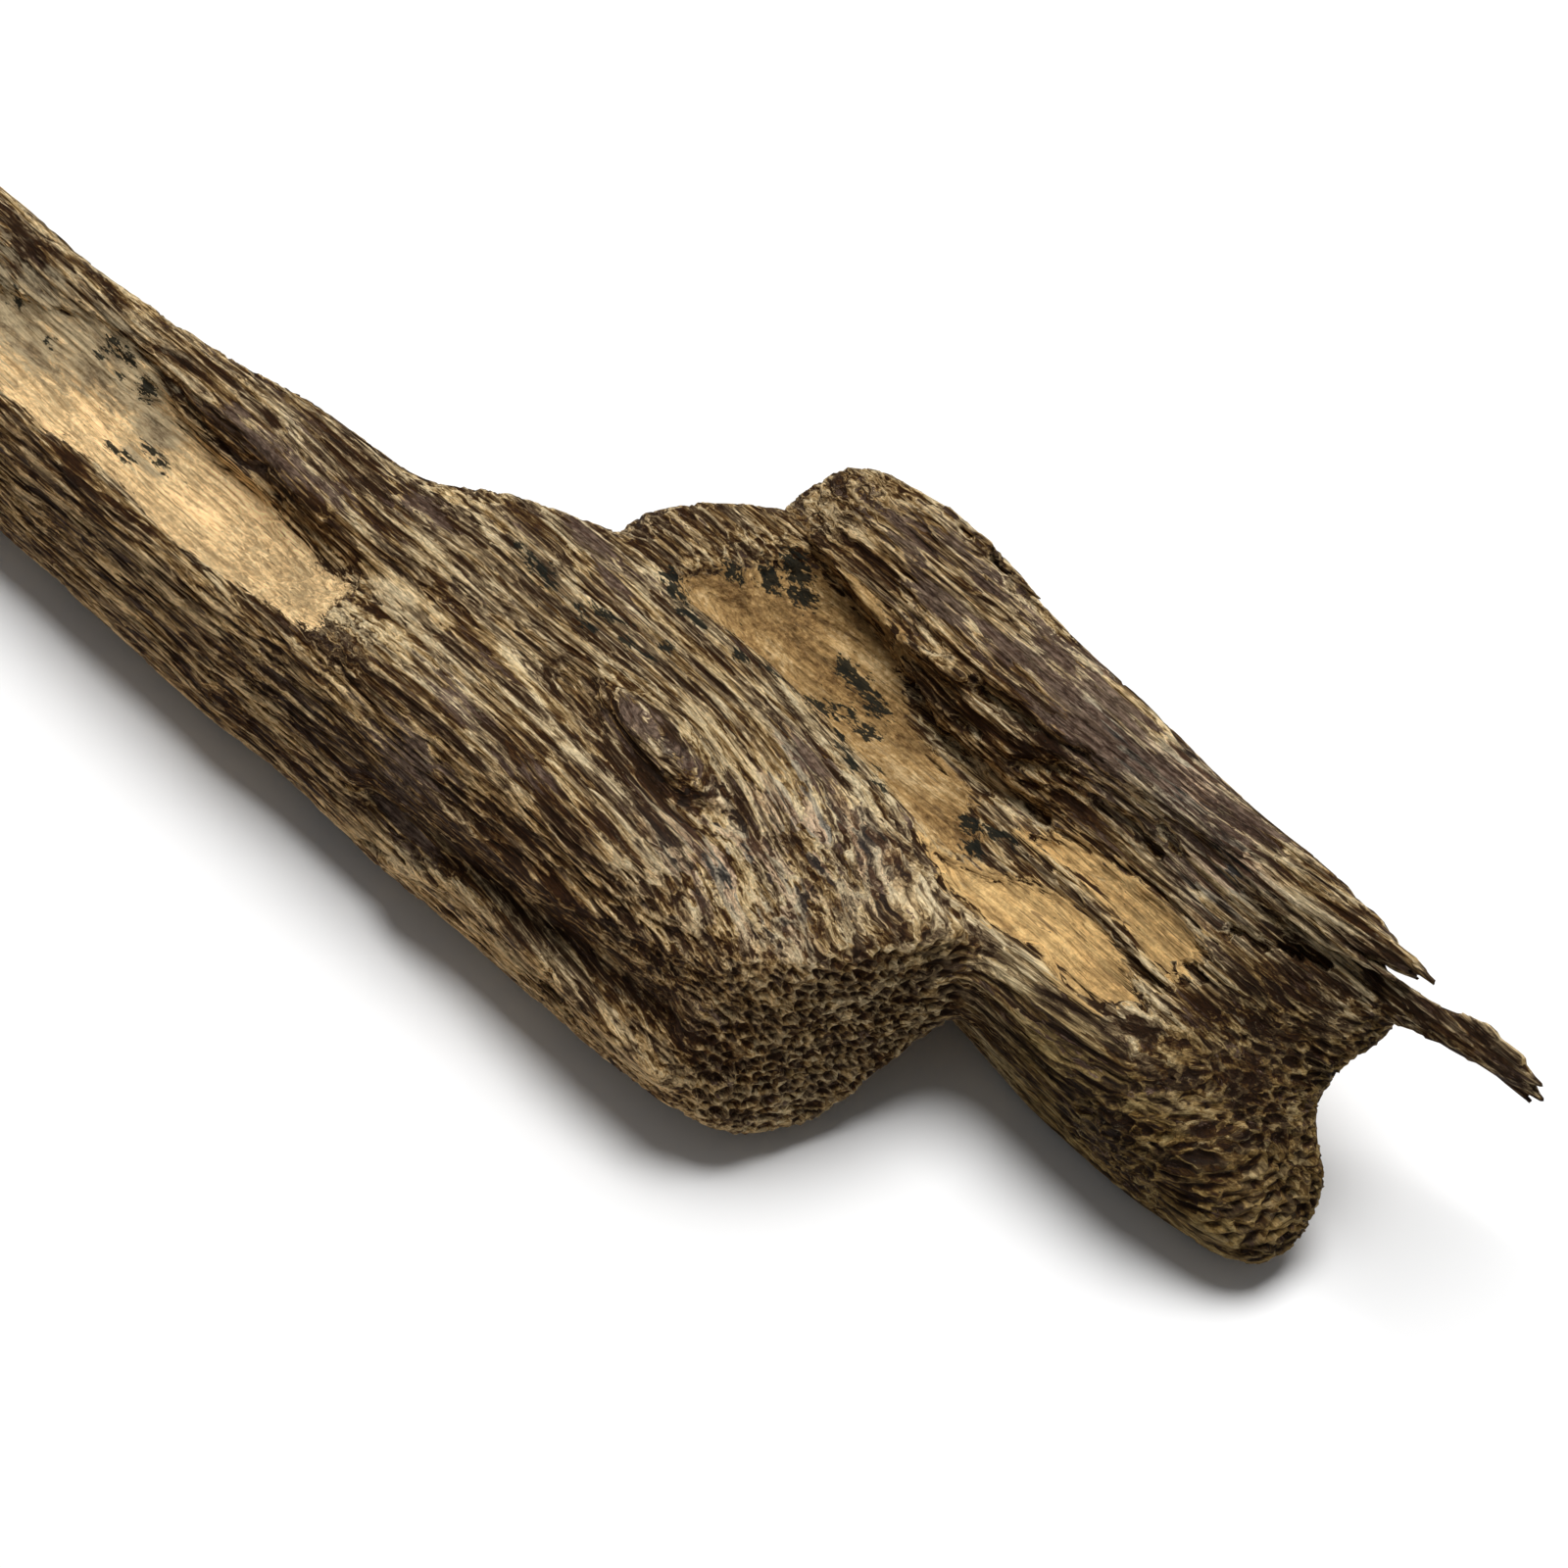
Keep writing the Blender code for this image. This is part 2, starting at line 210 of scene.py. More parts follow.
# Grooves, cracks and worn pits: depth, half width and a line of x, y, z.
GROOVES = [
    # under the step of the stem's hollow
    (0.35, 0.4, [(-25.7, -8.5, 15), (-23.5, -8.9, 14.4), (-18.7, -9.1, 14), (-12.6, -9.5, 14.3),
                 (-8, -9.8, 14.5), (-2.9, -10.3, 14.8)]),
    (0.6, 0.35, [(-16.2, -9, 14.6), (-14.6, -8.6, 14.9)]),
    # beside the knot
    (0.6, 0.95, [(14.1, -5.8, 15.7), (17.4, -6.4, 15.9), (20.7, -6.9, 16.3), (23.8, -7.4, 16.2),
                 (26.4, -7.5, 16), (28.5, -6.9, 15.8), (30.5, -5.6, 15.6)]),
    (0.3, 0.35, [(18.3, -4, 16.9), (19.9, -2.9, 16.8), (22.7, -2.5, 16.6), (26.2, -2.9, 16.2),
                 (28.6, -3.6, 15.9)]),
    # the long hollow on the near flank and the crack along the shelf below it
    (1.1, 1.3, [(9, -17.7, 8.6), (15.1, -17.6, 9.3), (20.9, -17.4, 9.6), (26.4, -16.9, 9.9),
                (31, -16.3, 10.3), (36, -15.8, 10)]),
    (0.5, 0.35, [(12.5, -18.6, 7.2), (18.2, -17.8, 8.9), (21.9, -17.5, 9), (25.3, -17.3, 9),
                 (30.1, -17.1, 8.9)]),
    (0.4, 0.3, [(8.8, -18.8, 4.8), (10.8, -18.7, 5.5), (12.9, -18.6, 6.4), (15.3, -18.3, 7.2)]),
    (0.45, 0.25, [(27.1, -17.3, 8.5), (28.1, -17.6, 7.5), (28.8, -17.8, 6.6), (29.7, -18, 5.7),
                  (30.5, -17.8, 4.4)]),
    (0.6, 0.4, [(27.4, -17.9, 6.2), (28, -17.9, 6.2)]),
    # the foot of the ridge's wall, with holes and splits in it
    (0.45, 0.4, [(16.7, 13.8, 15.4), (19.2, 13.5, 14.4), (21.9, 13.2, 13.9), (24.5, 12.6, 13.5),
                 (27.2, 11.9, 13.7)]),
    (0.9, 0.5, [(27.2, 11.9, 13.7), (28.8, 11.3, 13.3), (31.4, 10.6, 13.1), (36.2, 10.2, 13.1),
                (39.4, 10.7, 13.2), (41.3, 11.0, 13.1)]),
    (1.5, 0.5, [(32.9, 12.9, 17.1), (34.3, 12.9, 17.2), (35.7, 13, 17.4), (37.5, 13, 17.3)]),
    (0.8, 0.35, [(31.7, 10.7, 13.3), (33.5, 10.6, 13.4), (35.2, 10.6, 13.6), (36.9, 10.7, 13.8)]),
    (0.6, 0.3, [(35.6, 9.4, 13.7), (37.5, 9.4, 13.6), (39.2, 9.5, 13.9)]),
    (0.7, 0.35, [(38, 11.4, 15.1), (39.5, 12.1, 15.6), (40.8, 12.9, 16.1)]),
    (0.7, 0.3, [(38.5, 13.3, 17.4), (40, 13.6, 17.2), (41.7, 14.1, 17.1)]),
    (0.6, 0.3, [(32.2, 11.3, 14.8), (33.5, 11.3, 14.9), (34.3, 11.3, 15.1)]),
    (0.8, 0.3, [(43.6, 13, 15.2), (45.1, 13.2, 15.2), (46.7, 13.4, 15.2), (47.7, 13.3, 14.9),
                (49, 13.3, 14.8)]),
    (0.7, 0.4, [(48.6, 14.1, 16), (49.3, 13.9, 15.7), (49.9, 13.8, 15.5)]),
    # cracks below the ridge's point
    (0.9, 0.25, [(56.1, 12.2, 14.3), (56.3, 12.7, 14.6), (56.8, 12.9, 14.8), (57.8, 12.9, 14.9),
                 (58.8, 12.9, 14.9)]),
    (0.9, 0.22, [(58.5, 13.2, 15.2), (59.3, 13.4, 15.3), (60.7, 13.9, 15.4)]),
    (0.7, 0.22, [(59.3, 14.2, 15.4), (60.6, 14.5, 15.5), (62.3, 14.6, 15.5), (64.4, 14.8, 17)]),
    # broken edges along and at the ends of the strips
    (0.6, 0.25, [(56.1, 9.7, 13.2), (56, 10.3, 13.4), (56.1, 10.8, 13.6)]),
    (0.5, 0.25, [(56.5, 8.9, 13), (55.8, 8.4, 12.9)]),
    (0.6, 0.25, [(55.6, 6.5, 12.7), (55.9, 6, 12.5), (56.1, 5.6, 12.5)]),
    (0.4, 0.25, [(42.6, 11.1, 13.1), (46.1, 11.5, 13.3), (50, 12.1, 13.8), (55, 11.4, 14.1),
                 (56.2, 11.5, 14.1)]),
    (0.35, 0.25, [(41.5, 8.2, 12.8), (45.2, 8.1, 12.7), (48.9, 8, 12.8), (53.2, 7.4, 12.8),
                  (55.5, 7.2, 12.8)]),
    # notches in the ridge's far edge
    (0.7, 0.5, [(23.6, 19.6, 20.6), (24.3, 19.5, 20.5)]),
    (0.8, 0.45, [(26.9, 19.7, 20), (27.9, 19.7, 19.9)]),
]
# Raised edges: height, half width and a line.
SWELLINGS = [
    # the shoulder above the stem's hollow
    (1.0, 1.7, [(-60, -10.6, 13.8), (-33, -10.2, 13.4), (-29.5, -10.2, 13.2)]),
    # the knot
    (0.15, 0.8, [(19.5, -5, 17.2), (26.5, -5.2, 16.9)]),
    # the rib between the two strips
    (0.35, 0.3, [(42.9, 9.0, 13.1), (46.7, 8.7, 12.8), (49.9, 8.4, 12.8), (53.2, 7.9, 12.8),
                 (56, 7.7, 12.8)]),
    # the step's edge over the stem's hollow
    (0.45, 0.6, [(-22, -7.9, 15.4), (-18.2, -7.9, 15.8), (-14, -8.1, 16), (-8, -8.9, 16)]),
    # the shelf on the near flank
    (0.75, 0.7, [(11.4, -19, 5.5), (14.8, -18.7, 6.9), (18.4, -18.2, 7.9), (24.1, -17.8, 8.1),
                 (27.5, -17.6, 7.9), (33, -17.6, 7.4), (38, -17, 6.6)]),
    # the top edge of the ridge's wall
    (0.65, 0.5, [(15.4, 14.4, 16.3), (19.3, 14, 16), (22.8, 13.6, 15.4), (28, 12.8, 16.2),
                 (31.5, 12.9, 16.9)]),
    (0.45, 0.5, [(39, 13.7, 17.5), (41.5, 14.4, 17.4), (45, 14.8, 17.1), (48.6, 15.2, 17.1),
                 (54, 15.8, 17.5)]),
    # the near edge of the lobe's top
    (0.4, 0.5, [(-0.4, -16.7, 14.2), (7.1, -16.8, 12.9), (15, -16.5, 11.9), (19.8, -16.4, 11.4),
                (25.1, -15.8, 11.9), (31.5, -14.6, 13.2), (36.1, -13.7, 13.8), (38.8, -12.8, 14.2)]),
]
# Where the streaks run darker (minus) or paler (plus), some of it painted shade and painted light: amount,
# half width and a line.
TONES_AND_SHADING = [
    # the long hollow on the near flank, darker partly as painted shade, and the pale shelf below it, partly
    # painted light
    (-0.17, 1.5, [(9, -17.7, 8.8), (20.9, -17.4, 9.6), (31, -16.3, 10.3), (38, -15.8, 9.6)]),
    (0.2, 0.9, [(4, -18.6, 4), (14.8, -18.7, 6.5), (24.1, -17.9, 7.6), (33, -17.7, 7.2), (38, -17, 6)]),
    # the ridge's wall, darker as painted shade under the ridge's edge
    (-0.16, 1.0, [(27.9, 12.2, 15), (33.2, 11.6, 15.4), (39, 12, 15.6), (43.7, 12.8, 15)]),
    (-0.14, 0.9, [(31.5, 12.9, 16.9), (36, 13, 17), (39, 13.4, 17)]),
    # the stem's step, darker as painted shade under its edge, the whole stem, and the lobe round the knot
    (-0.03, 0.8, [(-25, -8.7, 14.8), (-18, -8.8, 14.8), (-10, -9.3, 14.9), (-3, -10.1, 15)]),
    (-0.09, 7.0, [(-60, -12, 15), (-8, -10, 15)]),
    (-0.03, 6.0, [(0, -4, 16), (26, -7, 16)]),
    # pale streaks on both sides of the knot
    (0.1, 1.4, [(24, -10, 15.4), (32, -11, 15), (37, -10, 15)]),
    (0.18, 0.7, [(0, -9.3, 15.8), (7.8, -8.5, 15.7), (13.6, -7.8, 15.7), (16.8, -8.9, 15.7),
                 (20.9, -9.6, 15.8), (27, -10, 15.6)]),
    (0.14, 0.7, [(18, -2, 16.4), (23.2, -1.9, 16.2), (28.3, -1.4, 15.9), (33, -1.6, 15.6)]),
    # the tops of the lobe and the ridge
    (0.03, 6.0, [(12, 0, 16), (36, -5, 15)]),
    (0.05, 5.0, [(24, 17, 19), (56, 15.5, 17)]),
    # the rims of the hollow below the ridge, painted shade along the far strip's edge under the ridge's wall,
    # and a pale streak on the ridge
    (0.12, 0.8, [(9, 5, 15.6), (15, 4.4, 15.4), (22, 5, 14.6), (30, 4.8, 14.2), (36, 4.2, 13.4)]),
    (-0.1, 1.2, [(42.6, 12.2, 14), (49, 12.9, 14.3), (55.5, 12.9, 14.7)]),
    (0.12, 1.2, [(17.4, 17.4, 18.8), (24.4, 16.5, 18.7), (29.2, 15.5, 18.2)]),
    # two pale streaks at the end of the near flank
    (0.14, 0.5, [(30.6, -16.1, 10.7), (32.9, -15.8, 11.1), (35, -15.6, 11), (37.1, -15.3, 10.9)]),
    (0.14, 0.45, [(33.4, -16.2, 10.1), (35.7, -16.1, 9.8), (37.9, -16, 9.4)]),
    # the lobe's near side, with a pale streak low on it
    (-0.12, 1.6, [(26, -13, 14.5), (18, -12.5, 15.4), (10, -11.5, 15.9)]),
    (-0.1, 2.6, [(2, -17.5, 10), (14, -17, 11), (26, -16.2, 12), (36, -15, 12)]),
    (0.1, 0.8, [(8, -19.2, 3), (18, -18.8, 5.5), (28, -18.2, 6), (36, -17.4, 5.5)]),
    # the groove beside the knot, darker partly as painted shade in it, and the knot
    (-0.2, 1.5, [(15, -6.4, 15.8), (20.6, -7.6, 16.2), (25, -8.1, 16), (28.5, -7.4, 16)]),
    (-0.1, 1.5, [(19, -5, 17), (27, -5.2, 16.6)]),
    # the long splinter and the ridge's point
    (-0.19, 2.0, [(69, 16, 16), (78, 17, 14.5)]),
    (-0.14, 1.4, [(60, 17.5, 18), (70, 16.3, 18.5)]),
    # the foot's end, its rim and its flank, darker partly as painted shade
    (-0.1, 2.0, [(60, 12, 14.5), (63, 9, 11.5), (64, 5.5, 9.5)]),
    (-0.06, 3.5, [(59, 3, 9), (62, 7, 11), (63, 10, 13)]),
    (-0.12, 1.6, [(57, 4, 11), (57.5, 6.5, 12.4), (58, 9, 13)]),
    (-0.05, 4.0, [(48, 0, 8), (58, 0, 7)]),
]
# Black specks of mould in and along the hollows: x, y and reach.
SPECKS = [
    (7.9, -2.1, 0.6), (11.7, -0.7, 0.7), (13.3, 0, 0.6), (14.8, -1.2, 0.6), (11.3, 5.3, 0.8),
    (12.6, 4.6, 0.8), (14.5, 3.9, 0.7), (15.7, 4.1, 0.6), (19.6, 4.3, 0.6), (21.5, 5.6, 0.8),
    (24.1, 7.0, 1.1), (15.3, 12.6, 1.1), (14.7, 10.8, 0.9), (16.6, 11.9, 1), (13.1, 9, 0.7),
    (22.9, 10.6, 1), (24.1, 10.4, 0.9), (25.4, 10.3, 0.9), (26.7, 9.8, 0.9), (27.9, 8, 0.9), (25.6, 8, 0.8),
    (3.8, -1.4, 0.7), (6, -1.5, 1), (10.5, -1.8, 0.6), (12.3, -2.4, 0.6), (16.6, -1, 0.5), (16.5, 0.7, 0.6),
    (29.2, 4.8, 0.6), (30.7, 4.3, 0.6), (33, 4.6, 0.5), (39.9, 6.3, 0.8), (38.2, 7.6, 0.8),
    (39.7, 8.1, 0.7), (41, 8.4, 0.6), (31, 6.2, 0.5), (27.5, 5.9, 0.5), (-25.8, -14, 0.5),
    (-24.4, -13.7, 0.6), (-24, -12.1, 0.7), (-22.5, -12.1, 0.6), (-32.5, -9.1, 0.7), (-30.8, -9, 0.6),
    (-33.1, -10.1, 0.5), (-30.3, -10.2, 0.5), (-28.1, -9.4, 0.7), (-36.9, -11.7, 0.5), (-41.4, -11.1, 0.5),
]
# Patches of plum-brown resin, silvery weathered skin with a painted sheen, grey stain, and burr with curled
# grain: x, y, reach.
PLUM = [
    (11.5, -12.1, 2.2), (21.2, -5, 1.8), (25.4, -5.2, 1.7), (20, -12.5, 1.6), (9.3, 1.8, 1.7), (5, 3, 1.5),
    (-19.5, -7.9, 1.7), (-15.5, -8.2, 2.2), (-12, -8, 1.8), (-9, -7.4, 1.8), (11.5, -16.8, 2.4),
    (30.3, 2.2, 2), (-3, -4, 2.2), (22.1, 17, 2.8), (24.4, 18.3, 1.8), (26.5, 15.4, 2.4), (28.4, 18, 2.6),
    (32.8, 15.6, 3), (34.6, 17.8, 2.4), (38.5, 15.4, 3.2), (42.6, 14.4, 2.4), (41, 17.4, 2.6), (46, 16, 3),
    (49.5, 15, 2.2), (53, 17, 2.4),
]
SILVER_AND_SHEEN = [
    (41.3, 16.1, 2.4), (43.6, 15.6, 2.2), (39.4, 18.4, 2.2), (25.7, -5.9, 1.3), (34, -8, 4.5), (35, -2, 4),
    (28, 0, 2.5), (53.8, 14.4, 2.4), (48, 16.5, 2.5),
]
GREY = [
    (-46, -12.6, 4), (-39, -11.8, 4), (-34, -10.6, 3.4), (-29.6, -10, 2.8), (-25.5, -10.6, 2),
    (-24.4, -13.2, 1.4),
]
BURR = [
    (1.8, -14, 2), (3.2, -15.4, 1.6), (0.4, -15, 1.4), (-2, -11.8, 1.4), (13, 17, 2.2), (15.5, 15.6, 1.8),
    (16.5, 17.8, 2),
]
# The hollows lie above this height. Their edges matter as far as the reach, and slope down over the rim.
HOLLOW_LOWEST = 9
HOLLOW_REACH = 6.0
HOLLOW_RIM = 0.35
# The grain swerves round the knot over this length and breadth.
KNOT = (22.8, -5.3)
KNOT_SPAN = (6.5, 4)
# Left of this the piece ends in its far broken end, which faces the other way.
FAR_END = -70
# A groove whose depth is more than this many times its half width is a narrow crack, painted black inside as
# shade.
NARROW_CRACK = 1.2


def distance_to_line(points, line):
    """Distance from each point to a run of straight pieces, in as many axes as the line has."""
    line = np.array(line, float)
    points = points[:, : line.shape[1]]
    nearest = np.full(len(points), np.inf)
    for start, end in zip(line, line[1:]):
        run = end - start
        share = np.clip((points - start) @ run / (run @ run), 0, 1)
        nearest = np.minimum(nearest, np.linalg.norm(points - start - share[:, None] * run, axis=1))
    return nearest


def depth_inside(points, outline):
    """Distance in from an outline seen from above; negative outside it."""
    outline = np.array(outline, float)
    inside = np.zeros(len(points), bool)
    x, y = points[:, 0], points[:, 1]
    for (x0, y0), (x1, y1) in zip(outline, np.roll(outline, -1, axis=0)):
        if y0 != y1:
            inside ^= ((y0 > y) != (y1 > y)) & (x < (x1 - x0) * (y - y0) / (y1 - y0) + x0)
    edge = distance_to_line(points, np.vstack([outline, outline[:1]]))
    return np.where(inside, edge, -edge)


def rise(values, none, full):
    """0 at none, 1 at full and a straight slope between them; full may be the smaller of the two."""
    return np.clip((values - none) / (full - none), 0, 1)


def bell(distance, width):
    return np.exp(-((distance / width) ** 2))


def patches(points, upward, spots, along, across):
    """How much of a patch each point has, where the wood faces up; along and across stretch each reach."""
    share = np.zeros(len(points))
    for x, y, reach in spots:
        away = np.hypot((points[:, 0] - x) / (along * reach), (points[:, 1] - y) / (across * reach))
        share = np.maximum(share, bell(away, 1) * upward)
    return share


def hollows_at(points, facing):
    """How far inside a hollow each point is, how brown the sapwood is there, and how deep the hollow is."""
    inside = np.full(len(points), -HOLLOW_REACH)
    brown, sunk = np.zeros(len(points)), np.zeros(len(points))
    open_above = (facing[:, 2] > -0.2) & (points[:, 2] > HOLLOW_LOWEST)
    for tint, depth, outline in HOLLOWS:
        here = np.where(open_above, depth_inside(points, outline), -HOLLOW_REACH)
        brown = np.where(here > inside, tint, brown)
        sunk = np.maximum(sunk, depth * rise(here, 0, HOLLOW_RIM))
        inside = np.maximum(inside, here)
    return np.clip(inside, -HOLLOW_REACH, HOLLOW_REACH), brown, sunk


def narrow_cracks_at(points):
    """How far each point lies in a narrow crack, where shade is painted."""
    worn = np.zeros(len(points))
    for depth, width, line in GROOVES:
        if depth / width > NARROW_CRACK:
            worn = np.maximum(worn, bell(distance_to_line(points, line), 0.8 * width))
    return worn


def grain_swerve(x, y):
    """How far the grain runs aside: round the knot, and out towards the near lobe's end."""
    aside = y - KNOT[1]
    round_knot = -0.8 * bell(x - KNOT[0], KNOT_SPAN[0]) * np.tanh(aside / 0.8) * bell(aside, KNOT_SPAN[1])
    return round_knot + 0.0045 * np.clip(x - 12, 0, 30) ** 2 * rise(y, 6, -2)


def broken_tops(x, y, z):
    """How much the streaks shorten on top of the lobe's and foot's ends, and how far they are pits there."""
    lobe_top = rise(y, 3.5, 1.5) * rise(z, 6, 12)
    foot_top = rise(y, 14, 11) * rise(z, 1, 4)
    past = np.clip(x - 0.56 * y - 53, 0, 10)
    shorten = np.maximum(0.08 * np.clip(x - 28, 0, 13) ** 2 * lobe_top, 0.4 * past**2 * foot_top)
    pitted = np.maximum(0.8 * rise(past, 2, 5) * foot_top, 0.2 * rise(x, 35, 40) * lobe_top)
    return shorten, pitted


def mark_zones(piece):
    """Stores where each kind of wood lies; returns the points, their facings, and the hollows' depth."""
    points = read_points(piece) / MM
    facing = read_points(piece, "normal")
    x, y, z = points.T
    upward = np.clip(facing[:, 2] * 3, 0, 1)
    inside, brown, sunk = hollows_at(points, facing)
    tone = sum(amount * bell(distance_to_line(points, line), width) for amount, width, line in TONES_AND_SHADING)
    end_grain = rise(facing[:, 0] * np.where(x < FAR_END, -1, 1), 0.35, 0.7)
    foot_end = end_grain * (0.35 + 0.65 * rise(x, 50, 58))
    foot_flank = rise(x, 44, 52) * rise(y, 4.5, 2.5) * rise(z, 12.5, 11)
    foot_rim = 0.75 * rise(x, 56, 60) * rise(y, 14, 12)
    shorten, pitted = broken_tops(x, y, z)
    lobe_curl = 0.16 * rise(x, 27, 37) * rise(y, 3, -1) * upward
    # flank and olive tint the wood: the near side, as painted shade, and the foot's broken end, flank and
    # rim, partly their own olive colour and partly painted shade
    zones = {
        "sapwood": inside,
        "brown": brown,
        "worn": narrow_cracks_at(points),
        "tone": tone,
        "specks": patches(points, upward, SPECKS, 1.3, 0.9),
        "plum": patches(points, upward, PLUM, 1.5, 0.55),
        "silver": patches(points, upward, SILVER_AND_SHEEN, 1.4, 0.8),
        "grey": patches(points, upward, GREY, 1.6, 0.9),
        "flank": rise(facing[:, 1], -0.1, -1.1) * rise(x, 48, 42),
        "olive": np.maximum(np.maximum(foot_end, foot_flank), foot_rim),
        "swerve": grain_swerve(x, y),
        "shorten": shorten,
        "end_grain": np.maximum(end_grain, pitted),
        "curl": np.maximum(patches(points, upward, BURR, 1.2, 1.0), lobe_curl),
    }
    for name, values in zones.items():
        if name in piece.data.attributes:
            piece.data.attributes.remove(piece.data.attributes[name])
        layer = piece.data.attributes.new(name, "FLOAT", "POINT")
        layer.data.foreach_set("value", values.astype(np.float32))
    return points, facing, sunk


points, facing, sunk = mark_zones(wood)
move = -sunk
for depth, width, line in GROOVES:
    move -= depth * bell(distance_to_line(points, line), width)
for height, width, line in SWELLINGS:
    move += height * bell(distance_to_line(points, line), width)
points += facing * move[:, None]
write_points(wood, points * MM)


class Web:
    """Adds nodes to a material's or a modifier's tree, one call for each. Along and across say how many times
    a pattern repeats in a millimetre along and across the grain, and shift sets the patterns off from each
    other."""

    def __init__(self, tree):
        self.tree = tree

    def put(self, socket, value):
        """Gives a socket another node's output or a plain value."""
        if isinstance(value, bpy.types.NodeSocket):
            self.tree.links.new(value, socket)
        else:
            socket.default_value = value

    def node(self, kind, inputs=(), **settings):
        made = self.tree.nodes.new(kind)
        for name, value in settings.items():
            setattr(made, name, value)
        for key, value in dict(inputs).items():
            self.put(made.inputs[key], value)
        return made

    def zone(self, name):
        """What mark_zones has stored under this name."""
        if self.tree.bl_idname == "GeometryNodeTree":
            return self.node("GeometryNodeInputNamedAttribute", {"Name": name}).outputs["Attribute"]
        return self.node("ShaderNodeAttribute", attribute_name=name).outputs["Fac"]

    def maths(self, kind, *values):
        return self.node("ShaderNodeMath", dict(enumerate(values)), operation=kind).outputs[0]

    def plus(self, start, *terms):
        """The start plus each term's amount times its value."""
        for amount, value in terms:
            start = self.maths("MULTIPLY_ADD", value, amount, start)
        return start

    def centred(self, noise):
        """A noise, counted from its middle."""
        return self.maths("SUBTRACT", noise, 0.5)

    def step(self, value, low, high, to_low=0.0, to_high=1.0):
        entries = {"Value": value, "From Min": low, "From Max": high, "To Min": to_low, "To Max": to_high}
        return self.node("ShaderNodeMapRange", entries, interpolation_type="SMOOTHSTEP").outputs[0]

    def vector(self, kind, *values, scale=None):
        inputs = dict(enumerate(values))
        if scale is not None:
            inputs["Scale"] = scale
        return self.node("ShaderNodeVectorMath", inputs, operation=kind).outputs[0]

    def parts(self, vector):
        return self.node("ShaderNodeSeparateXYZ", {0: vector}).outputs

    def stretched(self, place, along, across, shift):
        """The place, counted in a pattern's repeats, which come a little closer upwards than across."""
        return self.vector("MULTIPLY_ADD", place, (along, across, 1.4 * across), shift)

    def noise(self, place, along, across, detail, rough, shift, output=0):
        vector = self.stretched(place, along, across, shift)
        inputs = {"Vector": vector, "Scale": 1.0, "Detail": detail, "Roughness": rough}
        return self.node("ShaderNodeTexNoise", inputs).outputs[output]

    def cells(self, place, along, across, shift, feature="F1", uneven=1.0):
        """Long cells side by side, each with a colour of its own."""
        vector = self.stretched(place, along, across, shift)
        inputs = {"Vector": vector, "Scale": 1.0, "Randomness": uneven}
        return self.node("ShaderNodeTexVoronoi", inputs, feature=feature).outputs

    def drift(self, place, along, across, shift):
        """A smooth random vector whose parts lie between -0.5 and 0.5."""
        colour = self.noise(place, along, across, 2.0, 0.5, shift, "Color")
        return self.vector("ADD", colour, (-0.5, -0.5, -0.5))

    def wander(self, place, along, across, amount, shift):
        """The place, moved by up to half of the amount."""
        return self.vector("MULTIPLY_ADD", self.drift(place, along, across, shift), amount, place)

    def blend(self, share, under, over, kind="MIX"):
        mixed = self.node("ShaderNodeMix", data_type="RGBA", blend_type=kind)
        for key, value in ((0, share), (6, under), (7, over)):
            self.put(mixed.inputs[key], (*value, 1.0) if isinstance(value, tuple) else value)
        return mixed.outputs[2]

    def ramp(self, share, stops):
        made = self.node("ShaderNodeValToRGB", {"Fac": share})
        made.color_ramp.elements.remove(made.color_ramp.elements[1])
        for number, (at, colour) in enumerate(stops):
            stop = made.color_ramp.elements.new(at) if number else made.color_ramp.elements[0]
            stop.position = at
            stop.color = (*colour, 1.0)
        return made.outputs[0]


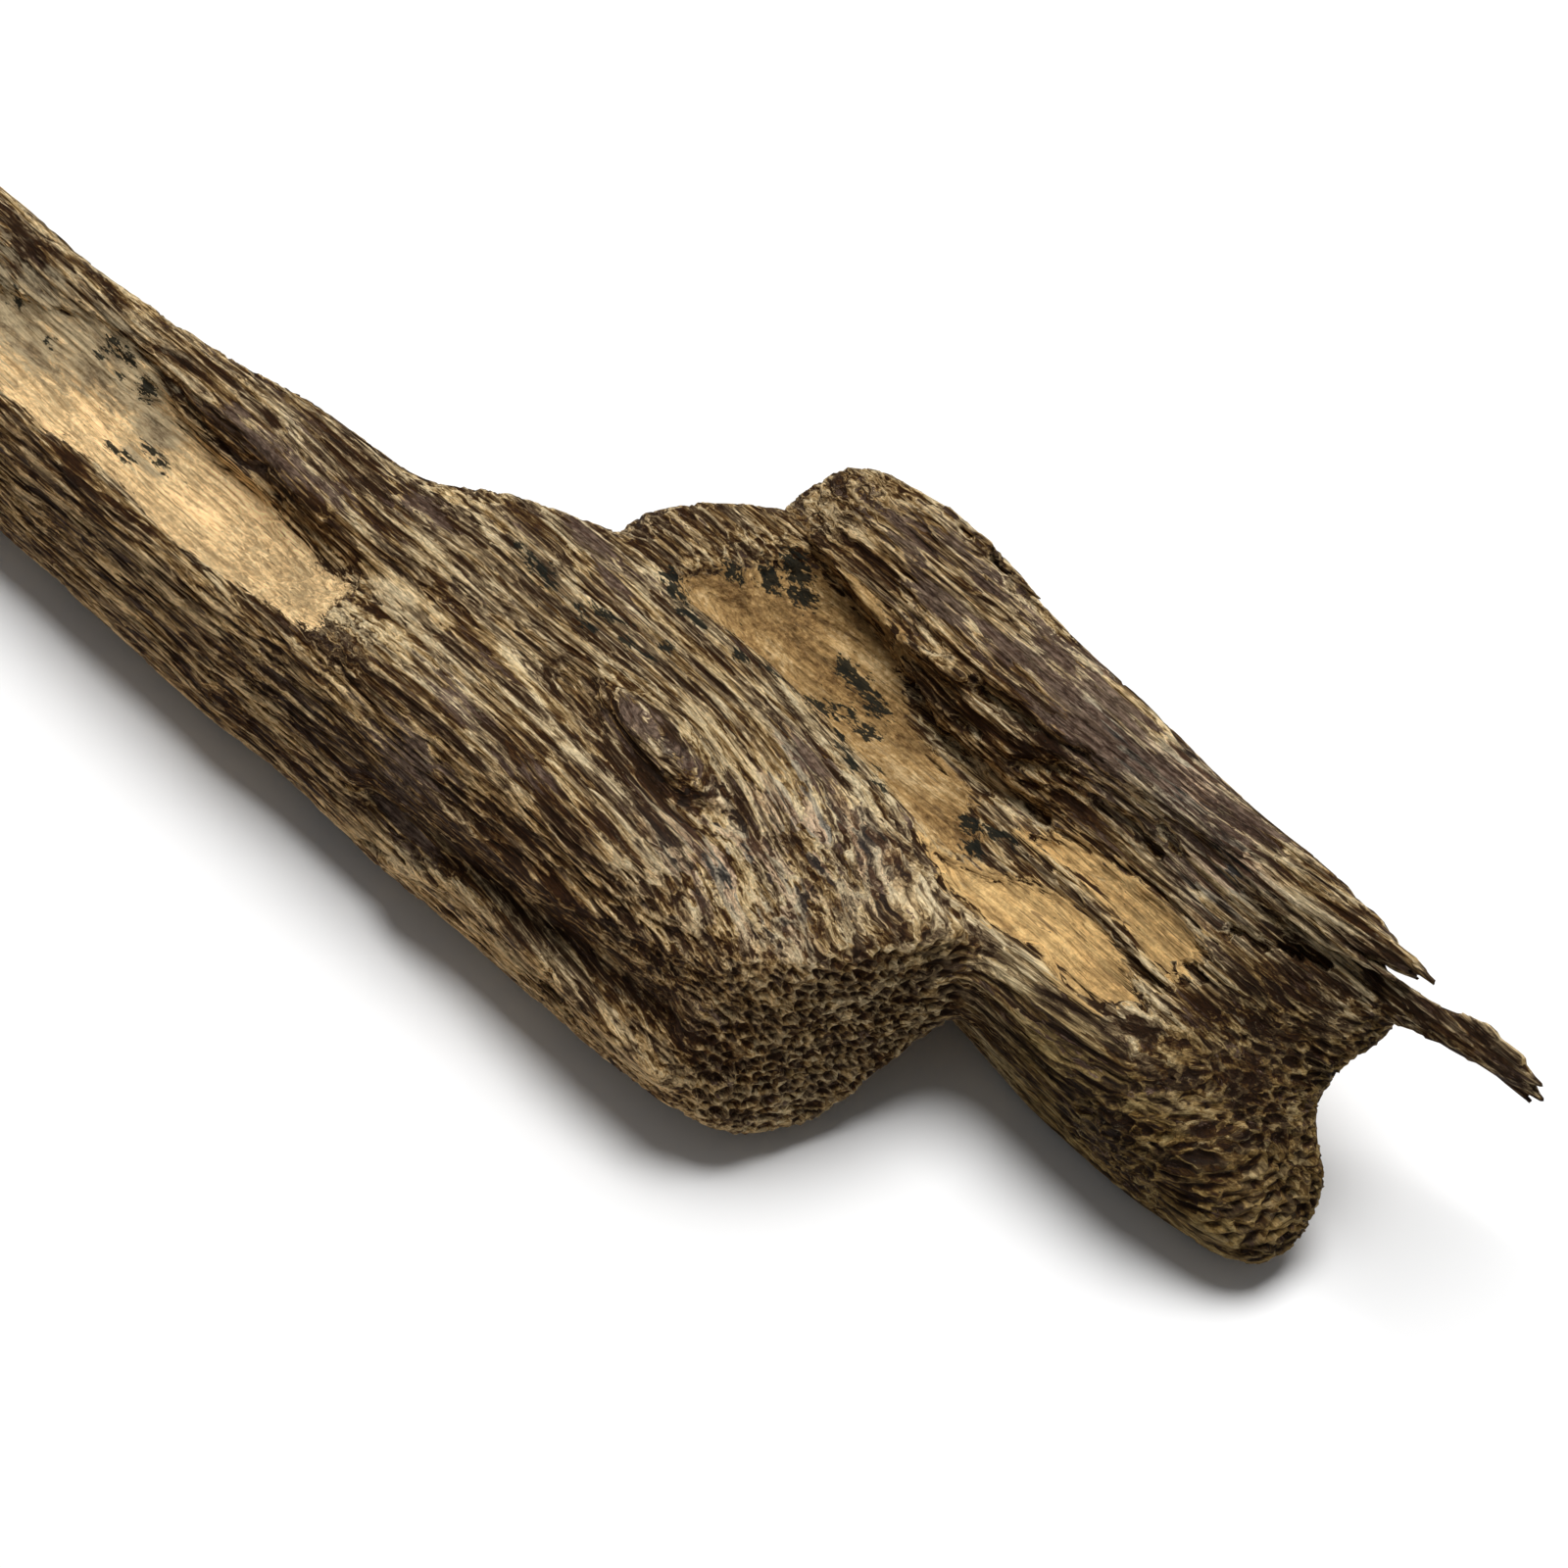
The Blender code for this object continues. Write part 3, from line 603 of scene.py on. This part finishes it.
def wood_pattern(web, metres):
    """The wood at a place: how pale it is from 0 to 1, its fibres, three random numbers for the wide strand
    and three for the thin one that it lies in, and where in straight grain it would lie."""
    # from the place on the piece to the place in straight grain
    place = web.vector("SCALE", metres, scale=1 / MM)
    bend = web.node("ShaderNodeCombineXYZ", {0: web.zone("shorten"), 1: web.zone("swerve")}).outputs[0]
    place = web.vector("ADD", place, bend)
    whirl = web.vector("SCALE", web.drift(place, 0.8, 1.1, (5.0, 1.0, 4.0)), scale=web.zone("curl"))
    place = web.vector("MULTIPLY_ADD", whirl, (7.0, 1.6, 1.6), place)
    place = web.wander(place, 0.03, 0.08, (2.0, 3.0, 3.0), (3.1, 0.0, 7.7))
    place = web.wander(place, 0.12, 0.5, (3.0, 0.5, 0.45), (0.0, 5.0, 2.0))
    # streaks along the grain: wide and thin strands, fibres, and slow changes of tone
    frayed = web.wander(place, 0.5, 4.0, (3.0, 0.17, 0.12), (8.0, 1.0, 3.0))
    spread = web.noise(place, 0.06, 0.32, 2.0, 0.55, (4.0, 8.0, 2.0))
    fibre = web.noise(place, 0.2, 4.4, 5.0, 0.72, (1.0, 2.0, 3.0))
    wide = web.cells(frayed, 0.12, 1.15, (0.0, 0.0, 0.0))
    thin = web.cells(frayed, 0.18, 2.6, (9.0, 4.0, 1.0))
    streaks = web.plus(-0.745, (1.4, fibre), (0.58, thin["Distance"]), (0.34, wide["Distance"]))
    streaks = web.plus(-0.15, (1.15, web.plus(streaks, (0.24, spread))))
    # pits on the broken ends: pale walls between dark cells
    coarse = web.cells(place, 0.12, 1.15, (4.0, 7.0, 9.0), "DISTANCE_TO_EDGE", 0.9)["Distance"]
    fine = web.cells(place, 0.2, 1.9, (2.0, 5.0, 1.0), "DISTANCE_TO_EDGE")["Distance"]
    walls = web.step(web.plus(coarse, (0.2, web.centred(fibre))), 0.04, 0.25, 0.42, 0.0)
    walls = web.maths("MAXIMUM", walls, web.step(fine, 0.03, 0.18, 0.15, 0.0))
    pits = web.plus(web.maths("ADD", walls, -0.225), (0.3, spread), (0.5, fibre))
    pale = web.plus(streaks, (web.zone("end_grain"), web.maths("SUBTRACT", pits, streaks)))
    pale = web.maths("ADD", pale, web.zone("tone"))
    return pale, fibre, web.parts(wide["Color"]), web.parts(thin["Color"]), place


relief = bpy.data.node_groups.new("worn grain", "GeometryNodeTree")
relief.interface.new_socket("Geometry", in_out="INPUT", socket_type="NodeSocketGeometry")
relief.interface.new_socket("Geometry", in_out="OUTPUT", socket_type="NodeSocketGeometry")
web = Web(relief)
seat = web.node("GeometryNodeInputPosition").outputs[0]
pale, *_, place = wood_pattern(web, seat)
swell = web.noise(place, 0.06, 0.22, 2.0, 0.5, (11.0, 3.0, 6.0))
rough = web.noise(place, 0.25, 0.9, 2.0, 0.6, (2.0, 13.0, 6.0))
height = web.plus(-0.23, (0.18, rough), (0.26, web.step(pale, 0.25, 0.75)))
# shallower in the smooth hollows, and deeper on the pitted ends
height = web.maths("MULTIPLY", height, web.step(web.zone("sapwood"), -0.2, 0.4, 1.0, 0.75))
height = web.maths("MULTIPLY", height, web.plus(1.0, (0.7, web.zone("end_grain"))))
height = web.maths("ADD", web.centred(swell), height)
# none where the piece rests, and little towards the long splinter's tip
at = web.parts(seat)
height = web.maths("MULTIPLY", height, web.step(at["Z"], 0.1 * MM, 2.5 * MM))
height = web.maths("MULTIPLY", height, web.step(at["X"], 70 * MM, 76.5 * MM, 1.0, 0.15))
normal = web.node("GeometryNodeInputNormal").outputs[0]
offset = web.vector("SCALE", normal, scale=web.maths("MULTIPLY", height, MM))
skin = {"Geometry": web.node("NodeGroupInput").outputs[0], "Offset": offset}
web.node("NodeGroupOutput", {0: web.node("GeometryNodeSetPosition", skin).outputs[0]})
finish_modifier(wood, "NODES", node_group=relief)
stretch_grain(wood, GRAIN_SQUASH)
triangles_now = sum(len(face.vertices) - 2 for face in wood.data.polygons)
finish_modifier(wood, "DECIMATE", ratio=min(1.0, TRIANGLES / triangles_now))
stretch_grain(wood, 1 / GRAIN_SQUASH)
mark_zones(wood)

# Colours of the strands, from dark resin to pale wood: how pale, and the colour there.
WARM_STRAND = [
    (0.22, (0.03, 0.0112, 0.0025)), (0.32, (0.068, 0.03, 0.0085)), (0.41, (0.13, 0.073, 0.026)),
    (0.5, (0.25, 0.158, 0.064)), (0.6, (0.47, 0.325, 0.15)), (0.76, (0.75, 0.58, 0.33)),
]
COOL_STRAND = [
    (0.22, (0.026, 0.0112, 0.0035)), (0.32, (0.062, 0.035, 0.016)), (0.41, (0.124, 0.083, 0.047)),
    (0.5, (0.225, 0.158, 0.084)), (0.6, (0.42, 0.31, 0.168)), (0.76, (0.68, 0.55, 0.34)),
]
# Sapwood, fresh along the stem and tan below the ridge, and the stained wood in the stem's hollow.
FRESH_SAPWOOD = [(0.3, (0.55, 0.34, 0.15)), (0.5, (0.79, 0.545, 0.27)), (0.7, (0.88, 0.67, 0.37))]
TAN_SAPWOOD = [
    (0.3, (0.12, 0.062, 0.021)), (0.45, (0.29, 0.17, 0.062)), (0.58, (0.45, 0.28, 0.11)),
    (0.75, (0.68, 0.48, 0.24)),
]
STAINED_WOOD = [
    (0.38, (0.1, 0.07, 0.042)), (0.45, (0.26, 0.2, 0.12)), (0.52, (0.42, 0.34, 0.21)),
    (0.64, (0.55, 0.43, 0.26)),
]
# Pairs of a dark and a pale colour.
DULL_SILVER = ((0.052, 0.052, 0.05), (0.31, 0.285, 0.235))
ROSY_SILVER = ((0.12, 0.066, 0.042), (0.62, 0.44, 0.3))
PLUM_RESIN = ((0.068, 0.038, 0.025), (0.21, 0.143, 0.102))
# Tints that the colour below is multiplied by, and plain dark colours.
# painted shade: the near side is tinted warmer and darker
FLANK_SHADE_TINT = (0.96, 0.8, 0.62)
# the broken ends' own olive, and painted shade on the foot's end, flank and rim
OLIVE_AND_SHADE_TINT = (0.44, 0.39, 0.26)
GOLDEN_TINT = (0.7, 0.64, 0.51)
SAP_GRIT = (0.25, 0.15, 0.065)
SAP_RAYS = (0.16, 0.095, 0.042)
SOOT = (0.012, 0.013, 0.009)
CRACK_SHADE = (0.016, 0.009, 0.006)
WOOD_ROUGHNESS = 0.62
WOOD_SHINE = 0.1

grain = bpy.data.materials.new("agarwood_grain")
grain.use_nodes = True
web = Web(grain.node_tree)
depth, fibre, tints, strand, place = wood_pattern(web, web.node("ShaderNodeTexCoord").outputs["Object"])
pale = web.plus(web.maths("SUBTRACT", depth, 0.27), (0.3, strand[1]), (0.2, tints[1]))
blotch = web.noise(place, 0.1, 0.35, 3.0, 0.6, (21.0, 3.0, 9.0))
grit = web.noise(place, 1.2, 4.0, 3.0, 0.6, (7.0, 1.0, 9.0))

# strands of resin and wood, some warm and some cool
hue = web.plus(web.maths("MULTIPLY", strand[0], 0.5), (0.5, tints[0]))
colour = web.blend(web.step(hue, 0.35, 0.65), web.ramp(pale, WARM_STRAND), web.ramp(pale, COOL_STRAND))

# silvery skin with a painted sheen, dull on some strands and rosy on others, and the tints of the flanks and
# broken ends, which are partly painted shade
dull, rosy = (web.blend(web.step(pale, 0.34, 0.6), *pair) for pair in (DULL_SILVER, ROSY_SILVER))
# painted sheen together with the silvery weathered skin, on upward faces
silver = web.maths("MULTIPLY", web.zone("silver"), web.step(tints[2], 0.42, 0.5))
silver_skin_and_sheen = web.blend(web.step(strand[2], 0.5, 0.6), dull, rosy)
colour = web.blend(web.maths("MULTIPLY", silver, 0.75), colour, silver_skin_and_sheen)
# painted shade: the near side, picked by its facing, is tinted warmer and darker
colour = web.blend(web.zone("flank"), colour, FLANK_SHADE_TINT, "MULTIPLY")
# olive: the end grain's own colour, and painted shade on the foot's end, flank and rim
colour = web.blend(web.zone("olive"), colour, OLIVE_AND_SHADE_TINT, "MULTIPLY")

# solid plum-brown resin, and a fine speckle over everything so far
plum_zone = web.maths("MULTIPLY", web.zone("plum"), 0.85)
plum_share = web.step(web.plus(plum_zone, (1.6, blotch), (-2.2, fibre), (0.7, strand[2])), 0.5, 0.62)
plum = web.blend(web.step(web.plus(fibre, (0.8, grit)), 0.75, 1.05), *PLUM_RESIN)
colour = web.blend(web.maths("MULTIPLY", plum_share, 0.92), colour, plum)
speckle = web.step(web.noise(place, 1.6, 6.5, 2.0, 0.7, (13.0, 4.0, 1.0)), 0.3, 0.7, 0.6, 1.4)
colour = web.blend(1.0, colour, speckle, "MULTIPLY")

# smooth sapwood in the hollows: fresh along the stem, golden on the foot and crumbly tan below the ridge
crumbs = web.plus(web.noise(place, 1.5, 2.6, 4.0, 0.72, (2.0, 9.0, 5.0)), (0.9, web.centred(blotch)))
fresh = web.ramp(fibre, FRESH_SAPWOOD)
golden = web.blend(web.step(web.zone("brown"), 0.0, 0.5), fresh, GOLDEN_TINT, "MULTIPLY")
golden = web.blend(1.0, golden, web.step(crumbs, 0.34, 0.66, 0.72, 1.26), "MULTIPLY")
sap = web.blend(web.step(web.zone("brown"), 0.5, 1.0), golden, web.ramp(crumbs, TAN_SAPWOOD))
sap = web.blend(web.step(grit, 0.5, 0.3, 0.0, 0.5), sap, SAP_GRIT)
rays = web.noise(place, 0.12, 4.5, 3.0, 0.6, (6.0, 2.0, 8.0))
sap = web.blend(web.step(rays, 0.4, 0.33, 0.0, 0.75), sap, SAP_RAYS)
sap = web.blend(1.0, sap, web.step(depth, 0.28, 0.55, 0.86, 1.26), "MULTIPLY")
sap_edge = web.plus(web.zone("sapwood"), (2.5, web.centred(blotch)), (2.5, web.centred(fibre)))
sap_edge = web.plus(sap_edge, (0.9, web.centred(strand[1])))
colour = web.blend(web.step(sap_edge, -0.12, 0.15), colour, sap)

# grey stain, black mould and the painted shade in narrow cracks
clouds = web.noise(place, 0.35, 1.1, 4.0, 0.7, (14.0, 2.0, 3.0))
murk = web.noise(place, 0.3, 0.9, 5.0, 0.75, (6.0, 12.0, 3.0))
stain = web.plus(web.zone("grey"), (2.4, web.centred(clouds)), (1.2, web.centred(fibre)))
stain = web.maths("MULTIPLY", web.step(stain, 0.3, 0.85), 0.8)
colour = web.blend(stain, colour, web.ramp(murk, STAINED_WOOD))
mould = web.noise(place, 1.2, 3.6, 3.0, 0.65, (3.0, 7.0, 5.0))
soot = web.step(web.plus(web.zone("specks"), (2.6, mould)), 1.76, 1.94)
colour = web.blend(web.maths("MULTIPLY", soot, 0.96), colour, SOOT)
# painted shade inside the narrow cracks
colour = web.blend(web.maths("MULTIPLY", web.zone("worn"), 0.85), colour, CRACK_SHADE)

surface = grain.node_tree.nodes["Principled BSDF"]
surface.inputs["Roughness"].default_value = WOOD_ROUGHNESS
surface.inputs["Specular IOR Level"].default_value = WOOD_SHINE
web.put(surface.inputs["Base Color"], colour)
height = web.plus(web.maths("MULTIPLY", pale, 0.8), (0.6, fibre), (0.25, grit))
bump = web.node("ShaderNodeBump", {"Height": height, "Strength": 0.85, "Distance": 0.2 * MM})
web.put(surface.inputs["Normal"], bump.outputs[0])
wood.data.materials.clear()
wood.data.materials.append(grain)
bpy.ops.object.shade_smooth()
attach(wood, "root")
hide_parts("agarwood")

# The floor. A wide sheet of matt white paper, which the wood lies on by its own weight.
# It is there for the picture alone.
FLOOR_SIZE = 6.0
PAPER_WHITE = (0.9, 0.9, 0.9, 1)
PAPER_ROUGHNESS = 0.8
bpy.ops.object.select_all(action="DESELECT")
bpy.ops.mesh.primitive_plane_add(size=FLOOR_SIZE, location=(0, 0, 0))
floor = bpy.context.object
floor.name = "floor"
paper = bpy.data.materials.new("paper")
paper.use_nodes = True
sheet = paper.node_tree.nodes["Principled BSDF"]
sheet.inputs["Base Color"].default_value = PAPER_WHITE
sheet.inputs["Roughness"].default_value = PAPER_ROUGHNESS
floor.data.materials.append(paper)

# The light. An even white room, and one broad round lamp above, behind and to the right, which throws
# the soft shadow towards the camera.
ROOM_STRENGTH = 0.16
LAMP_PLACE = Vector((-0.09, 0.32, 1.1))
LAMP_SIZE = 0.8
LAMP_POWER = 15.8
world = bpy.data.worlds.new("room")
bpy.context.scene.world = world
world.use_nodes = True
world.node_tree.nodes["Background"].inputs["Color"].default_value = (1.0, 1.0, 1.0, 1)
world.node_tree.nodes["Background"].inputs["Strength"].default_value = ROOM_STRENGTH
glow = bpy.data.lights.new("key", "AREA")
glow.shape = "DISK"
glow.size = LAMP_SIZE
glow.energy = LAMP_POWER
lamp = bpy.data.objects.new("key", glow)
bpy.context.scene.collection.objects.link(lamp)
lamp.location = LAMP_PLACE
lamp.rotation_euler = LAMP_PLACE.to_track_quat("Z", "Y").to_euler()

# The camera. It looks down on the wood from the side of the broken ends, along the photograph's line
# of sight, so that the stem's far end lies beyond the left edge of the picture.
VIEW_AZIMUTH = math.radians(50)
VIEW_ELEVATION = math.radians(47)
VIEW_AIM = Vector((27.295, 1.486, 11.403)) * MM
VIEW_DISTANCE = 280 * MM
VIEW_LENS = 100.8
VIEW_SENSOR = 36.0
optics = bpy.data.cameras.new("view")
optics.lens = VIEW_LENS
optics.sensor_width = VIEW_SENSOR
optics.clip_start = 0.01
camera = bpy.data.objects.new("view", optics)
bpy.context.scene.collection.objects.link(camera)
towards_camera = Vector((
    math.sin(VIEW_AZIMUTH) * math.cos(VIEW_ELEVATION),
    -math.cos(VIEW_AZIMUTH) * math.cos(VIEW_ELEVATION),
    math.sin(VIEW_ELEVATION),
))
camera.location = VIEW_AIM + towards_camera * VIEW_DISTANCE
camera.rotation_euler = (math.pi / 2 - VIEW_ELEVATION, 0, VIEW_AZIMUTH)
bpy.context.scene.camera = camera
bpy.context.scene.view_settings.view_transform = "Standard"

bpy.context.view_layer.update()
